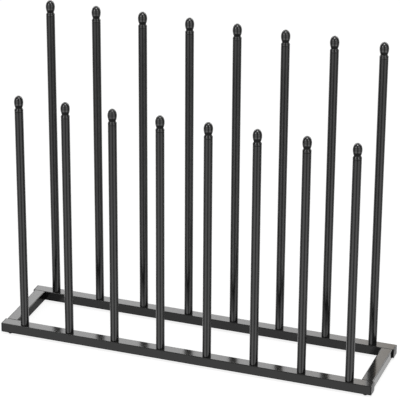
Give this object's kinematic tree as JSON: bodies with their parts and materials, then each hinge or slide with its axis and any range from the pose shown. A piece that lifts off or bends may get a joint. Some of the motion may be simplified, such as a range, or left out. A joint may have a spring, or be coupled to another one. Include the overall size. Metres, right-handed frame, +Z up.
{
  "type": "boot rack",
  "caption": "Free-standing steel boot rack: two rows of round upright posts with acorn finials on a low rectangular-tube frame, the back row taller, to hang boots upside down.",
  "frame": {"origin": "on the floor, under the middle of the rack", "axes": "+X along the rack to the right, +Y from the low front row to the tall back row, +Z up"},
  "size_m": [0.933, 0.224, 0.7954],
  "materials": {
    "frame_coat": "semi-gloss black powder coat",
    "post_coat": "semi-gloss black powder coat",
    "finial_plastic": "glossy black moulded plastic",
    "cap_plastic": "black moulded plastic",
    "foot_rubber": "matte dark grey rubber",
    "bolt_zinc": "zinc plated"
  },
  "bodies": {
    "root": {"rail_front": "frame_coat", "rail_back": "frame_coat", "side_rail_left": "frame_coat", "side_rail_right": "frame_coat", "rail_cap_front_left": "cap_plastic", "rail_cap_front_right": "cap_plastic", "rail_cap_back_left": "cap_plastic", "rail_cap_back_right": "cap_plastic", "foot_front_left": "foot_rubber", "foot_front_right": "foot_rubber", "foot_back_left": "foot_rubber", "foot_back_right": "foot_rubber", "post_front_1": "post_coat", "finial_front_1": "finial_plastic", "post_bolt_front_1": "bolt_zinc", "post_front_2": "post_coat", "finial_front_2": "finial_plastic", "post_bolt_front_2": "bolt_zinc", "post_front_3": "post_coat", "finial_front_3": "finial_plastic", "post_bolt_front_3": "bolt_zinc", "post_front_4": "post_coat", "finial_front_4": "finial_plastic", "post_bolt_front_4": "bolt_zinc", "post_front_5": "post_coat", "finial_front_5": "finial_plastic", "post_bolt_front_5": "bolt_zinc", "post_front_6": "post_coat", "finial_front_6": "finial_plastic", "post_bolt_front_6": "bolt_zinc", "post_front_7": "post_coat", "finial_front_7": "finial_plastic", "post_bolt_front_7": "bolt_zinc", "post_front_8": "post_coat", "finial_front_8": "finial_plastic", "post_bolt_front_8": "bolt_zinc", "post_back_1": "post_coat", "finial_back_1": "finial_plastic", "post_bolt_back_1": "bolt_zinc", "post_back_2": "post_coat", "finial_back_2": "finial_plastic", "post_bolt_back_2": "bolt_zinc", "post_back_3": "post_coat", "finial_back_3": "finial_plastic", "post_bolt_back_3": "bolt_zinc", "post_back_4": "post_coat", "finial_back_4": "finial_plastic", "post_bolt_back_4": "bolt_zinc", "post_back_5": "post_coat", "finial_back_5": "finial_plastic", "post_bolt_back_5": "bolt_zinc", "post_back_6": "post_coat", "finial_back_6": "finial_plastic", "post_bolt_back_6": "bolt_zinc", "post_back_7": "post_coat", "finial_back_7": "finial_plastic", "post_bolt_back_7": "bolt_zinc", "post_back_8": "post_coat", "finial_back_8": "finial_plastic", "post_bolt_back_8": "bolt_zinc"}
  },
  "joints": []
}
